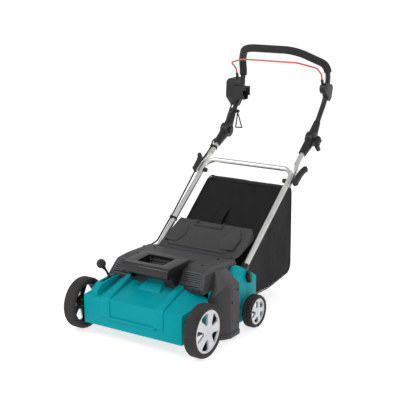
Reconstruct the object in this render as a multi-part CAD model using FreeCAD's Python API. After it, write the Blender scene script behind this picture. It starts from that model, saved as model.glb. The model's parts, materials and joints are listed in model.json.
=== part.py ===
import FreeCAD, Part
import math
import os

from FreeCAD import Vector

# Electric lawn dethatcher: a wheeled deck with a scarifying reel, a belt drive, a folding handle
# and a catcher bag. Millimetres. The design frame has +X across the machine towards the belt side,
# +Y towards the operator and +Z up, with y = 0 on the front axle and z = 0 on the ground.
# Pieces are moved back by ORIGIN_Y when they are written,
# so that the origin is on the ground in the middle of the footprint.

# ---------------------------------------------------------------- driving dimensions
ORIGIN_Y = 504.4

WHEEL_OUT = 300.0  # outer face of every wheel
FRONT_R = 100.0
FRONT_W = 50.0
REAR_R = 65.0
REAR_W = 42.0
REAR_AXLE_Y = 358.0
RUN = 0.05  # radial clearance of a shaft in its bore

DECK_HALF = 223.0
DECK_FRONT_Y = -62.0
DECK_LOW_Z = 50.0
DECK_EDGE_Z = 163.0
SKIRT_Z = 20.0
REAR_HALF = 240.0
REAR_Y = 440.0
WALL = 4.0

CRANK_Y = 44.0  # turning centre of the cranked front axle
LEVER_X = -182.0

REEL_Y = 178.0
REEL_Z = 84.0
REEL_R = 75.0
REEL_HALF = 180.0  # half of the working width
MOTOR_Y = 186.0
MOTOR_Z = 217.0
MOTOR_R = 42.0
BELT_X = 238.0
MOTOR_PULLEY_R = 15.0
REEL_PULLEY_R = 30.0

FLAP_Y = 352.0
FLAP_Z = 252.0
FLAP_HALF = 172.0
FLAP_LENGTH = 188.0
FLAP_ANGLE = 25.0

TUBE_R = 11.0
TUBE_WALL = 1.6
TUBE_X = 212.0
FOOT_Y = 368.0
FOOT_Z = 196.0
CLAMP_Y = 745.0
CLAMP_Z = 497.0
CROSSBAR_S = 545.0  # distance of the cross bar from the foot pivot, along the handle
HINGE_Y = 948.0
HINGE_Z = 643.0
BAIL_Y = 1046.0
BAIL_Z = 852.0
GRIP_R = 17.0
LEAD_R = 3.5

LEAN = math.atan2(CLAMP_Z - FOOT_Z, CLAMP_Y - FOOT_Y)  # slope of the lower handle
CLAMP_S = math.hypot(CLAMP_Y - FOOT_Y, CLAMP_Z - FOOT_Z)
SHELL_LEAN = math.atan2(HINGE_Z - 592, HINGE_Y - 865)  # slope of the lower hinge shells
HOOP_LEAN = math.atan2(147, 116)  # slope of the hoop's legs


# ---------------------------------------------------------------- drawing helpers
def v(x, y, z):
    return Vector(x, y, z)


X, Y, Z, O = v(1, 0, 0), v(0, 1, 0), v(0, 0, 1), v(0, 0, 0)


def box(x0, x1, y0, y1, z0, z1):
    return Part.makeBox(x1 - x0, y1 - y0, z1 - z0, v(x0, y0, z0))


def rod_x(x0, x1, y, z, r):
    return Part.makeCylinder(r, x1 - x0, v(x0, y, z), X)


def ring_x(x0, x1, y, z, r_out, r_in):
    return rod_x(x0, x1, y, z, r_out).cut(rod_x(x0 - 1, x1 + 1, y, z, r_in))


def rod(a, b, r):
    return Part.makeCylinder(r, (b - a).Length, a, b - a)


def prism(corners, push):
    """The polygon through the corners, pushed along a vector."""
    return Part.Face(Part.makePolygon(corners + corners[:1])).extrude(push)


def side_prism(points, x0, x1):
    return prism([v(x0, y, z) for y, z in points], v(x1 - x0, 0, 0))


def front_prism(points, y0, y1):
    return prism([v(x, y0, z) for x, z in points], v(0, y1 - y0, 0))


def plan_prism(points, z0, z1):
    return prism([v(x, y, z0) for x, y in points], v(0, 0, z1 - z0))


def side_loft(x0, points0, x1, points1):
    """A solid between two polygons of (y, z) points with equally many corners."""
    wires = []
    for x, points in ((x0, points0), (x1, points1)):
        wires.append(Part.makePolygon([v(x, y, z) for y, z in points + points[:1]]))
    return Part.makeLoft(wires, True, True)


def mirrored(shape):
    return shape.mirror(O, X)


def both(shape):
    """The shape and its mirror image, as a group of separate solids."""
    return Part.makeCompound(shape.Solids + mirrored(shape).Solids)


def fuse(first, *others):
    return first.fuse(list(others)).removeSplitter()


def largest(shape):
    return max(shape.Solids, key=lambda s: s.Volume)


def turned(shape, angle, axis=X):
    copy = shape.copy()
    copy.rotate(O, axis, angle)
    return copy


def moved(shape, x, y, z):
    copy = shape.copy()
    copy.translate(v(x, y, z))
    return copy


def round_edges(shape, radius, wanted):
    return shape.makeFillet(radius, [e for e in shape.Edges if wanted(e)])


def along(edge, axis):
    d = edge.Vertexes[-1].Point - edge.Vertexes[0].Point
    return d.Length > 0.01 and abs(d.dot(axis)) > 0.999 * d.Length


def spine(points, radii):
    """Straight runs through the points, with an arc of the given radius at each inner point."""
    edges = []
    start = points[0]
    for i in range(1, len(points) - 1):
        before = (points[i - 1] - points[i]).normalize()
        after = (points[i + 1] - points[i]).normalize()
        half = before.getAngle(after) / 2
        back = radii[i - 1] / math.tan(half)
        inward = (before + after).normalize()
        crown = points[i] + inward * (radii[i - 1] / math.sin(half) - radii[i - 1])
        enter = points[i] + before * back
        leave = points[i] + after * back
        edges.append(Part.LineSegment(start, enter).toShape())
        edges.append(Part.Arc(enter, crown, leave).toShape())
        start = leave
    edges.append(Part.LineSegment(start, points[-1]).toShape())
    return Part.Wire(edges)


def pipe(points, radii, r):
    section = Part.Wire(Part.makeCircle(r, points[0], points[1] - points[0]))
    return spine(points, radii).makePipeShell([section], True, True)


def mirror_path(points):
    """The points, then their mirror images in the opposite order."""
    return points + [v(-p.x, p.y, p.z) for p in reversed(points)]


def on_handle(x, s, n=0.0):
    """A point s up the lower handle from its foot pivot, and n square to it."""
    y = FOOT_Y + s * math.cos(LEAN) - n * math.sin(LEAN)
    z = FOOT_Z + s * math.sin(LEAN) + n * math.cos(LEAN)
    return v(x, y, z)


def lay(shape, lean, x, y, z):
    """Tips a shape drawn with +Y as its length up to the slope, and moves it to its place."""
    return moved(turned(shape, math.degrees(lean)), x, y, z)


PIECES = {}


def add(name, shape):
    PIECES[name] = shape


# ---------------------------------------------------------------- deck housing
def fender(t):
    """Half of the front deck's top, falling from its ridge out to the side wall, inset by t."""
    front = DECK_FRONT_Y + t
    edge = [(front, 0), (front, DECK_EDGE_Z - 10 - t), (front + 3, DECK_EDGE_Z - 3 - t),
            (front + 10, DECK_EDGE_Z - t)]
    inner = edge + [(92, 206 - t), (132, 206 - t), (132, 0)]
    outer = edge + [(108, 170 - t), (132, 170 - t), (132, 0)]
    return side_loft(138, inner, DECK_HALF - t, outer)


def deck_form(t):
    front = DECK_FRONT_Y + t
    rear = REAR_Y + t
    valley = [(front, 0), (front, DECK_EDGE_Z - t), (92, 200 - t), (132, 200 - t), (132, 0)]
    tail = [(240 + t, 0), (240 + t, 200 - t), (300, 248 - t), (330, 246 - t), (rear, 180 - t),
            (rear, 92), (396, 0)]
    side = REAR_HALF - t
    shoulder = [(-side, 0), (-side, 212 - t), (18 - side, 250 - t), (side - 18, 250 - t),
                (side, 212 - t), (side, 0)]
    return fuse(
        side_prism(valley, -138, 138),
        fender(t),
        mirrored(fender(t)),
        box(-DECK_HALF + t, DECK_HALF - t, 120, 300, 0, 200 - t),
        side_prism(tail, -side, side).common(front_prism(shoulder, 200, 460)),
    )


def deck_ridge():
    profile = [(-65, 92), (-65, 156), (-58, 167), (78, 214), (94, 216), (94, 150), (-40, 120)]
    flank = [(99, 90), (101, 160), (110, 220), (128, 220), (142, 160), (144, 90)]
    return side_prism(profile, 95, 148).common(front_prism(flank, -80, 110))


def deck_solid():
    """The deck's outer form with its ridges, sill, centre bump and lever guide, before it is hollowed."""
    form = deck_form(0.0)
    ridge = deck_ridge()
    sill = box(-108, 108, -66, -40, 84, 95)
    bump = side_prism([(20, 150), (40, 191), (64, 210), (94, 217), (94, 150)], -60, 74)
    bump = bump.common(front_prism([(-46, 150), (-42, 190), (-26, 222), (40, 222), (56, 190),
                                    (60, 150)], 0, 110))
    guide = side_prism([(-52, 120), (-50, 182), (-18, 202), (60, 208), (104, 204), (104, 120)],
                       LEVER_X - 15, LEVER_X + 15)
    return fuse(form, ridge, mirrored(ridge), sill, bump, guide)


def cheek():
    """Wall between the outlet and the pocket that holds a handle foot."""
    profile = [(264, 60), (264, 212), (300, 246), (330, 244), (436, 180), (436, 92), (396, 40),
               (300, 40)]
    return side_prism(profile, 190, 195)


def deck_housing(solid):
    shell = solid.cut(deck_form(WALL))
    back = box(192, REAR_HALF, 436, REAR_Y, 92, 181)
    bosses = [ring_x(206, DECK_HALF - 2, CRANK_Y, FRONT_R, 17, 9),
              ring_x(206, DECK_HALF - 2, REEL_Y, REEL_Z, 36, 26)]
    shell = shell.cut(box(-190, 190, 326, 460, 96, 300))
    shell = shell.cut(box(-190, 190, 290, 350, 204, 300))
    for piece in [cheek(), back] + bosses:
        shell = shell.fuse([piece, mirrored(piece)])
    shell = shell.cut(box(-400, 400, -100, 112, -80, DECK_LOW_Z))
    shell = shell.cut(box(-400, 400, 100, 500, -80, SKIRT_Z))
    shell = shell.cut(box(-150, 196, 134, 290, 190, 260))
    shell = shell.cut(box(LEVER_X - 7, LEVER_X + 7, -8, 94, 120, 230))
    for side in (-1, 1):
        ends = sorted((side * 185, side * 245))
        shell = shell.cut(rod_x(ends[0], ends[1], CRANK_Y, FRONT_R, 9 + RUN))
        shell = shell.cut(rod_x(ends[0], ends[1], REEL_Y, REEL_Z, 26))
        shell = shell.cut(rod_x(ends[0], ends[1], REAR_AXLE_Y, REAR_R, 6))
        shell = shell.cut(rod_x(ends[0], ends[1], FOOT_Y, FOOT_Z, 5))
        pocket = sorted((side * 196, side * 228))
        shell = shell.cut(box(pocket[0], pocket[1], 348, 460, 182, 300))
    return largest(shell)


# ---------------------------------------------------------------- covers
def motor_cover_form(t):
    side = [(86 + t, 198), (91 + t, 214), (128 + t, 264 - t), (176, 273 - t), (330 - t, 266 - t),
            (338 - t, 258 - t), (338 - t, 198)]
    across = [(-221 + t, 198), (-206 + t, 258 - t), (-188, 275 - t), (188, 275 - t),
              (206 - t, 258 - t), (221 - t, 198)]
    return side_prism(side, -240, 240).common(front_prism(across, 60, 400))


def motor_hump(t):
    profile = [(112 + t, 240), (158 + t, 286 - t), (176, 287 - t), (238 - t, 268), (238 - t, 240)]
    return side_prism(profile, -94 + t, 94 - t)


def motor_cover(deck):
    outer = fuse(motor_cover_form(0.0), motor_hump(0.0))
    shell = outer.cut(motor_cover_form(3.0)).cut(motor_hump(3.0)).cut(deck)
    shell = shell.cut(box(-178, 178, 325, 350, 198, 252))
    for x in (170, 178, 186, 194, 202):
        shell = shell.cut(box(x - 1.8, x + 1.8, 80, 97, 196, 212))
    for i in range(7):
        s = 6 + i * 8.0
        y = 91 + s * 0.6
        z = 214 + s * 0.8
        half = 92 - i * 2.0
        for middle in (-1, 1):
            centre = middle * (110 + half / 2)
            shell = shell.cut(box(centre - half / 2 + 4, centre + half / 2 - 4, y - 4, y + 12, z - 1.6,
                                  z + 1.6))
    return largest(shell.cut(rod_x(150, 240, MOTOR_Y, MOTOR_Z, 14)))


def carry_handle(cover, deck):
    """The black carrying frame: a broad rounded bar in front of a rectangular grip hole."""
    profile = [(20, 256), (23, 283), (32, 290), (168, 296), (174, 289), (150, 262), (112, 236),
               (92, 214), (78, 214), (56, 250), (28, 250)]
    frame = side_prism(profile, -104, 104)
    frame = round_edges(frame, 5.0, lambda e: along(e, X) and e.CenterOfMass.y < 34)
    hole = round_edges(box(-60, 60, 56, 140, 150, 330), 9.0, lambda e: along(e, Z))
    under = box(-94, 94, 50, 116, 150, 272)
    frame = frame.cut(hole).cut(under).cut(cover).cut(deck)
    return largest(frame.cut(motor_cover_form(0.0)).cut(motor_hump(0.0)))


BELT_PLAN = [(205, 108), (226, 113), (250, 130), (268, 150), (283, 176), (283, 239.8), (205, 239.8)]


def belt_cover_form(t):
    plan = [(205, 108 + t), (226 - t * 0.3, 113 + t), (250 - t * 0.7, 130 + t)]
    plan += [(268 - t * 0.8, 150 + t * 0.7), (283 - t, 176 + t * 0.3), (283 - t, 239.8 - t),
             (205, 239.8 - t)]
    outward = [(200, 12 - t), (200, 262 - t), (224, 262 - t), (283, 211 - t), (290, 205 - t),
               (290, 12 - t)]
    forward = [(60, 12 - t), (60, 96), (108 + t, 166), (190 + t * 0.7, 262 - t), (300, 262 - t),
               (300, 12 - t)]
    walls = plan_prism(plan, 12 - t, 300)
    return walls.common(front_prism(outward, 60, 300)).common(side_prism(forward, 150, 300))


def belt_cover(deck):
    shell = belt_cover_form(0.0).cut(belt_cover_form(3.0))
    shell = shell.cut(deck).cut(motor_cover_form(0.0)).cut(box(190, 223.2, 60, 260, 0, 200.5))
    lip = plan_prism([(x + 3 if x > 226 else x, y - 2 if y < 200 else y) for x, y in BELT_PLAN], 12, 30)
    lip = lip.cut(plan_prism([(x - 2.5 if x > 226 else x, y + 2 if y < 200 else y - 3) for x,
                              y in BELT_PLAN], 0, 40))
    return largest(fuse(shell, lip.common(box(223.2, 300, 60, 260, 0, 40))))


def cover_screws():
    heads = []
    for x in (-150, 150):
        heads.append(Part.makeCylinder(4.5, 3, v(x, 186, 272.9)))
        heads.append(Part.makeCylinder(4.5, 3, v(x, 300, 267.7)))
    for y, z in ((190, 150), (229, 60), (229, 190)):
        heads.append(rod_x(283, 285.6, y, z, 4.5))
    return Part.makeCompound(heads)


def reel_tunnel():
    """Sheet guard over the reel, the chute roof behind it and the chute floor."""
    r_out = REEL_R + 13
    r_in = REEL_R + 11
    arc = ring_x(-DECK_HALF + WALL, DECK_HALF - WALL, REEL_Y, REEL_Z, r_out, r_in)
    arc = arc.cut(box(-230, 230, REEL_Y, 400, -50, 300)).cut(box(-230, 230, 0, 300, -50, 34))
    top = [(REEL_Y, REEL_Z + r_in), (REEL_Y, REEL_Z + r_out), (262, 190), (262, 188)]
    roof = [(262, 188), (262, 190), (300, 200), (340, 228), (341, 226), (301, 198)]
    floor = side_prism([(262, 60), (262, 62), (435, 94), (435, 92)], -190, 190)
    guard = fuse(arc, side_prism(top, -DECK_HALF + WALL, DECK_HALF - WALL), side_prism(roof, -190, 190))
    return Part.makeCompound([largest(guard), floor])


# ---------------------------------------------------------------- motor and belt
def motor_body():
    can = ring_x(-90, 190, MOTOR_Y, MOTOR_Z, MOTOR_R, MOTOR_R - 4)
    for x0, x1 in ((-90, -84), (184, 196)):
        can = can.fuse(ring_x(x0, x1, MOTOR_Y, MOTOR_Z, MOTOR_R - 1, 8 + RUN))
    for i in range(7):
        fin = turned(box(-78, 172, -1.2, 1.2, MOTOR_R - 2, MOTOR_R + 4), 30 * i - 90)
        can = can.fuse(moved(fin, 0, MOTOR_Y, MOTOR_Z))
    foot = box(-60, 150, MOTOR_Y - 38, MOTOR_Y + 34, 150, MOTOR_Z - 22)
    foot = foot.cut(rod_x(-100, 200, MOTOR_Y, MOTOR_Z, MOTOR_R - 2))
    below = [(REEL_Y - 100, 0), (REEL_Y - 100, 172), (REEL_Y, 172), (262, 190), (262, 0)]
    foot = foot.cut(rod_x(-100, 200, REEL_Y, REEL_Z, REEL_R + 13)).cut(side_prism(below, -100,
        200).common(box(-100, 200, REEL_Y, 300, 0, 200)))
    return largest(fuse(can, foot))


def rotor_shaft():
    return fuse(rod_x(-108, 250, MOTOR_Y, MOTOR_Z, 8), rod_x(-60, 150, MOTOR_Y, MOTOR_Z, MOTOR_R - 14))


def cooling_fan():
    fan = rod_x(-107, -95, 0, 0, 14)
    for i in range(7):
        blade = turned(box(-106, -96, -1.1, 1.1, 12, 39), 360 / 7 * i)
        fan = fan.fuse(blade)
    fan = fan.cut(rod_x(-110, -90, 0, 0, 8))
    return largest(moved(fan.removeSplitter(), 0, MOTOR_Y, MOTOR_Z))


def ribbed_pulley(y, z, r, bore):
    """A pulley with grooves that run round it and a flange on each side."""
    x0 = BELT_X - 8
    x1 = BELT_X + 8
    body = fuse(rod_x(x0, x1, y, z, r), rod_x(x0 - 2.5, x0, y, z, r + 3),
                rod_x(x1, x1 + 2.5, y, z, r + 3))
    for i in range(4):
        x = BELT_X - 6 + 4 * i
        body = body.cut(ring_x(x - 0.9, x + 0.9, y, z, r + 0.5, r - 1.6))
    return body.cut(rod_x(x0 - 5, x1 + 5, y, z, bore))


def drive_belt():
    """The belt loop: two arcs and the two straight runs that touch both."""
    a = v(0, MOTOR_Y, MOTOR_Z)
    b = v(0, REEL_Y, REEL_Z)
    span = (b - a).Length
    line = math.atan2(b.z - a.z, b.y - a.y)

    def loop(extra):
        ra = MOTOR_PULLEY_R + extra
        rb = REEL_PULLEY_R + extra
        tip = math.acos((ra - rb) / span)

        def rim(centre, r, angle):
            return v(BELT_X - 7.5, centre.y + r * math.cos(line + angle),
                     centre.z + r * math.sin(line + angle))

        edges = [
            Part.LineSegment(rim(a, ra, tip), rim(b, rb, tip)).toShape(),
            Part.Arc(rim(b, rb, tip), rim(b, rb, 0), rim(b, rb, -tip)).toShape(),
            Part.LineSegment(rim(b, rb, -tip), rim(a, ra, -tip)).toShape(),
            Part.Arc(rim(a, ra, -tip), rim(a, ra, math.pi), rim(a, ra, tip)).toShape(),
        ]
        return Part.Face(Part.Wire(edges)).extrude(v(15, 0, 0))

    return loop(3.2).cut(loop(0.3))


def run_capacitor():
    can = rod_x(-202, -154, 205, 217, 16)
    return fuse(can, box(-192, -164, 190, 220, 200, 208))


# ---------------------------------------------------------------- reel
BLADES = 16
BLADE_PITCH = (2 * REEL_HALF - 16) / (BLADES - 1)


def reel_shaft():
    return fuse(rod_x(-REEL_HALF - 10, REEL_HALF + 10, REEL_Y, REEL_Z, 15),
                rod_x(-221, 251, REEL_Y, REEL_Z, 10))


def reel_blades():
    """Two-armed hooked blades, each turned on from its neighbour."""
    arm = [(12, -8), (40, -11), (60, -9), (71, -16), (75, -10), (66, 6), (40, 9), (12, 8)]
    blades = []
    for i in range(BLADES):
        x = -REEL_HALF + 8 + BLADE_PITCH * i
        plate = rod_x(x - 1, x + 1, 0, 0, 26)
        prong = side_prism(arm, x - 1, x + 1)
        plate = plate.fuse([prong, turned(prong, 180)]).cut(rod_x(x - 2, x + 2, 0, 0, 15))
        blades.append(moved(turned(plate.removeSplitter(), 67.5 * i + 20), 0, REEL_Y, REEL_Z))
    return Part.makeCompound([largest(b) for b in blades])


def reel_spacers():
    tubes = []
    for i in range(BLADES - 1):
        x = -REEL_HALF + 8 + BLADE_PITCH * i
        tubes.append(ring_x(x + 1, x + BLADE_PITCH - 1, REEL_Y, REEL_Z, 20, 15))
    return Part.makeCompound(tubes)


def reel_bearings():
    return both(ring_x(207, DECK_HALF - 1, REEL_Y, REEL_Z, 26, 10 + RUN))


# ---------------------------------------------------------------- wheels
def tyre(y, r, w):
    """A solid tyre with rounded shoulders on the +X side of the machine."""
    a = WHEEL_OUT - w
    b = WHEEL_OUT
    seat = r * 0.80
    half = [(a + 4, seat), (a, seat + 4), (a, r - 8), (a + 2.5, r - 2.5), (a + 8, r)]
    half += [(b - 8, r), (b - 2.5, r - 2.5), (b, r - 8), (b, seat + 7), (b - 3, seat)]
    face = Part.Face(Part.makePolygon([v(x, 0, q) for x, q in half + half[:1]]))
    return moved(face.revolve(O, X, 360), 0, y, r)


def rim(y, r, w, bore):
    """A moulded wheel centre: barrel, domed face with five windows, and a hub."""
    a = WHEEL_OUT - w
    b = WHEEL_OUT
    seat = r * 0.80
    barrel = ring_x(a + 5, b - 4, 0, 0, seat, seat - 5)
    dome = [(b - 12, seat - 4), (b - 4.5, seat - 2), (b - 4.5, seat - 7), (b - 1.5, r * 0.26),
            (b - 0.6, 0), (b - 9, 0), (b - 10, r * 0.26)]
    disc = Part.Face(Part.makePolygon([v(x, 0, q) for x, q in dome + dome[:1]])).revolve(O, X, 360)
    wheel = fuse(barrel, disc, rod_x(a + 2, b - 6, 0, 0, r * 0.14 + 3))
    top = seat - 9
    window = [(-r * 0.07, r * 0.30), (-r * 0.25, top - 8), (-r * 0.18, top), (r * 0.15, top),
              (r * 0.21, top - 7), (r * 0.05, r * 0.30)]
    for i in range(5):
        wheel = wheel.cut(turned(side_prism(window, b - 18, b + 2), 72 * i + 18))
    wheel = wheel.cut(rod_x(a - 2, b - 8, 0, 0, bore + RUN))
    return moved(largest(wheel.removeSplitter()), 0, y, r)


# ---------------------------------------------------------------- front axle and depth lever
LEVER_PATH = [v(LEVER_X, CRANK_Y, FRONT_R), v(LEVER_X, 42, 210), v(LEVER_X, 26, 236),
              v(LEVER_X, 4, 262)]


def front_axle():
    """Cranked axle: the middle turns in the deck and the offset ends carry the front wheels."""
    web = side_prism([(CRANK_Y + 13, 88), (CRANK_Y + 13, 112), (-11, 110), (-11, 90)], 232, 240)
    web = round_edges(web, 9.0, lambda e: along(e, X))
    stub = rod_x(240, WHEEL_OUT - 10, 0, FRONT_R, 7)
    return fuse(rod_x(-236, 236, CRANK_Y, FRONT_R, 9), web, stub, mirrored(web), mirrored(stub))


def depth_lever():
    collar = rod_x(LEVER_X - 9, LEVER_X + 9, CRANK_Y, FRONT_R, 15)
    lever = collar.fuse(pipe(LEVER_PATH, [30, 40], 4.5))
    return largest(lever.cut(rod_x(LEVER_X - 20, LEVER_X + 20, CRANK_Y, FRONT_R, 9)))


def lever_knob():
    ball = Part.makeSphere(18, v(LEVER_X, -5, 274))
    slope = LEVER_PATH[3] - LEVER_PATH[2]
    neck = rod(LEVER_PATH[3] - slope * 0.45, LEVER_PATH[3], 7)
    return largest(fuse(ball, neck).cut(pipe(LEVER_PATH, [30, 40], 4.5)))


# ---------------------------------------------------------------- flap over the outlet
def rear_flap():
    """Hinged guard, drawn level behind its hinge line and then raised."""
    end = FLAP_LENGTH
    tray = box(-FLAP_HALF, FLAP_HALF, 12, end, -46, 8)
    tray = tray.cut(box(-FLAP_HALF + 4, FLAP_HALF - 4, 0, end - 4, -60, 4))
    tray = tray.cut(side_prism([(0, -60), (0, -6), (60, -32), (end + 5, -46.5), (end + 5, -60)], -200,
                               200))
    raised = plan_prism([(-134, 20), (-154, 70), (-124, end - 8), (124, end - 8), (154, 70),
                         (134, 20)], 7.5, 14)
    raised = raised.makeChamfer(4.0, [e for e in raised.Edges if e.BoundBox.ZMin > 13.9])
    flap = fuse(tray, raised, box(-FLAP_HALF, FLAP_HALF, 2, 16, 2, 8))
    flap = flap.cut(box(-74, 40, end - 26, end + 2, 6, 20))
    for x in (-150, -20, 110):
        flap = flap.fuse([rod_x(x, x + 40, 0, 0, 7), box(x, x + 40, 0, 14, 0, 6)])
    flap = flap.cut(rod_x(-200, 200, 0, 0, 4 + RUN)).removeSplitter()
    return lay(largest(flap), math.radians(FLAP_ANGLE), 0, FLAP_Y, FLAP_Z)


def flap_hinge():
    """Hinge rod and the two lugs that carry it."""
    lug = box(176, 190, FLAP_Y - 9, FLAP_Y + 9, FLAP_Z - 40, FLAP_Z + 8)
    lug = round_edges(lug, 7.0, lambda e: along(e, X) and e.CenterOfMass.z > FLAP_Z)
    return fuse(rod_x(-186, 186, FLAP_Y, FLAP_Z, 4), lug, mirrored(lug))


# ---------------------------------------------------------------- catcher bag
BAG_HALF = 188.0
BAG_SIDE = [(446, 92), (446, 199), (754, 460), (778, 468), (806, 464), (824, 444), (828, 108),
            (812, 82), (640, 60), (520, 62)]
BAG_INNER = [(440, 98), (440, 190), (449, 192), (757, 453), (779, 460), (802, 457), (817, 441),
             (821, 111), (807, 89), (640, 67), (521, 69), (449, 98)]


def bag_fabric():
    return largest(side_prism(BAG_SIDE, -BAG_HALF,
                              BAG_HALF).cut(side_prism(BAG_INNER, -BAG_HALF + 4, BAG_HALF - 4)))


def bag_frame():
    """Wire frame inside the cloth: mouth hoop and the two rails that hold the front open."""
    x = BAG_HALF - 12
    points = mirror_path([v(-x, 454, 106), v(-x, 454, 190), v(-x, 762, 444)])
    return fuse(pipe(points, [20, 24, 24, 20], 4), rod(v(-x, 454, 106), v(x, 454, 106), 4))


def bag_strap():
    """Webbing loop sewn to the bag's sloping front."""
    foot = v(0, 560, 295.6)
    rise = math.atan2(261, 308)
    length = 120
    half = 19
    strap = fuse(box(-half, half, 0, 16, 0.5, 3), box(-half, half, length - 16, length, 0.5, 3))
    strap = fuse(strap, box(-half, half, 12, length - 12, 8, 10.5))
    strap = fuse(strap, box(-half, half, 12, 16, 2, 10),
                 box(-half, half, length - 16, length - 12, 2, 10))
    return lay(strap, rise, -30, foot.y, foot.z)


# ---------------------------------------------------------------- lower handle
def lower_handle():
    ends = [on_handle(-TUBE_X, 16), on_handle(-TUBE_X, CROSSBAR_S)]
    longer = [on_handle(-TUBE_X, 15), on_handle(-TUBE_X, CROSSBAR_S)]
    bar = pipe(mirror_path(ends), [48, 48],
               TUBE_R).cut(pipe(mirror_path(longer), [48, 48], TUBE_R - TUBE_WALL))
    for x in (-TUBE_X, TUBE_X):
        bar = bar.cut(rod_x(x - 20, x + 20, CLAMP_Y, CLAMP_Z, 4))
    return largest(bar)


def handle_feet():
    """Moulded sockets on the ends of the lower tube, turning on the deck's bolts."""
    body = round_edges(box(-15, 15, 0, 48, -15, 15), 8.0, lambda e: along(e, Y))
    body = fuse(body, rod_x(-15, 15, 0, 0, 18))
    body = body.cut(Part.makeCylinder(TUBE_R, 60, v(0, 16, 0), Y)).cut(rod_x(-20, 20, 0, 0, 5 + RUN))
    return both(lay(largest(body), LEAN, TUBE_X, FOOT_Y, FOOT_Z))


def foot_bolts():
    return both(fuse(rod_x(187, 252, FOOT_Y, FOOT_Z, 5), rod_x(183, 190, FOOT_Y, FOOT_Z, 8)))


def foot_knobs():
    """Winged nuts outside the deck walls."""
    knob = rod_x(0, 14, 0, 0, 14)
    wing = round_edges(box(2, 17, -9, 9, -25, 25), 7.0, lambda e: along(e, X))
    knob = fuse(knob, wing).cut(rod_x(-1, 11.5, 0, 0, 5))
    return both(lay(knob, 0.2, REAR_HALF + 0.5, FOOT_Y, FOOT_Z))


# ---------------------------------------------------------------- upper tubes and clamps
BLADE_X = TUBE_X + TUBE_R + 4.4  # middle of the flattened tube end, outside the lower tube


def oval(x, s, wide, thick):
    """An upright ellipse square to the handle."""
    wire = Part.Wire(Part.Ellipse(O, wide, thick).toShape())
    return moved(turned(turned(wire, -90, Y), 90, Z), x, s, 0)


def upper_path(start):
    """Centre line of an upper tube, from start above the clamp to just inside the height hinge."""
    top = v(TUBE_X, HINGE_Y - 34 * math.cos(SHELL_LEAN), HINGE_Z - 34 * math.sin(SHELL_LEAN))
    return [on_handle(TUBE_X, CLAMP_S + start), on_handle(TUBE_X, CLAMP_S + 130), top]


def upper_tube_form():
    """Round above, and pressed flat where it lies against the lower tube at the clamp."""
    sections = [
        oval(BLADE_X, CLAMP_S - 15, 13.5, 3.8),
        oval(BLADE_X, CLAMP_S + 30, 13.5, 3.8),
        oval(TUBE_X + 9, CLAMP_S + 62, 12.2, 8.0),
        oval(TUBE_X, CLAMP_S + 98, TUBE_R - 0.2, TUBE_R - 0.3),
    ]
    neck = lay(Part.makeLoft(sections, True, True), LEAN, 0, FOOT_Y, FOOT_Z)
    return fuse(neck, pipe(upper_path(92), [200], TUBE_R))


def upper_tube():
    tube = upper_tube_form().cut(pipe(upper_path(104), [200], TUBE_R - TUBE_WALL))
    return largest(tube.cut(rod_x(TUBE_X, TUBE_X + 40, CLAMP_Y, CLAMP_Z, 4 + RUN)))


def clamp_bolts():
    head = round_edges(rod_x(187, 200.5, CLAMP_Y, CLAMP_Z, 10), 3.0,
                       lambda e: abs(e.CenterOfMass.x - 187) < 0.1)
    return both(fuse(head, rod_x(200, 239, CLAMP_Y, CLAMP_Z, 4)))


CAM_X = 244.8  # cam pin of each clamp lever


def cam_lever(length):
    """Cam with a curved arm, drawn along +Y, its pin upright at the origin and the bolt coming from -X."""
    outline = [(-8, 2), (-8, 20), (-6, length * 0.45), (-1, length * 0.72), (6, length * 0.92),
               (14, length)]
    outline += [(23, length - 2), (25, length - 12), (17, length * 0.72), (13, length * 0.48),
                (12, 16), (10, -4)]
    lever = fuse(Part.makeCylinder(12.5, 20, v(0, 0, -10)), plan_prism(outline, -10, 10))
    slot = plan_prism([(2, 4.6), (-16, 4.6), (-16, -16), (4.6, -16), (4.6, 0)], -4.6, 4.6)
    return largest(fuse(lever.cut(slot), Part.makeCylinder(3, 20, v(0, 0, -10))))


# ---------------------------------------------------------------- height hinge
def hinge_shells():
    """Tapered shells on the upper tubes, each ending in the inner disc of the height hinge."""
    reach = math.hypot(HINGE_Y - 865, HINGE_Z - 592)
    sections = [oval(0, -reach, 16.7, 16.5), oval(0, -60, 21, 18), oval(0, -10, 27, 20)]
    shell = fuse(Part.makeLoft(sections, True, True), rod_x(-17, -0.4, 0, 0, 31))
    shell = shell.cut(rod_x(-0.4, 40, 0, 0, 32)).cut(rod_x(-40, -17, 0, 0, 15)).cut(rod_x(-30, 30, 0,
        0, 5))
    shell = lay(shell, SHELL_LEAN, TUBE_X, HINGE_Y, HINGE_Z).cut(upper_tube_form())
    return both(largest(shell))


def hinge_bolts():
    head = round_edges(rod_x(186, 194.9, HINGE_Y, HINGE_Z, 14), 3.0,
                       lambda e: abs(e.CenterOfMass.x - 186) < 0.1)
    bolt = fuse(head, rod_x(190, 229.2, HINGE_Y, HINGE_Z, 5), rod_x(229, 239, HINGE_Y, HINGE_Z, 4))
    nut = rod_x(229.4, 240, HINGE_Y, HINGE_Z, 11).cut(rod_x(220, 239, HINGE_Y, HINGE_Z, 4))
    return Part.makeCompound([bolt, mirrored(bolt), mirrored(nut)])


HOOK_Y = 1008.6
HOOK_Z = 719.9


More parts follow.
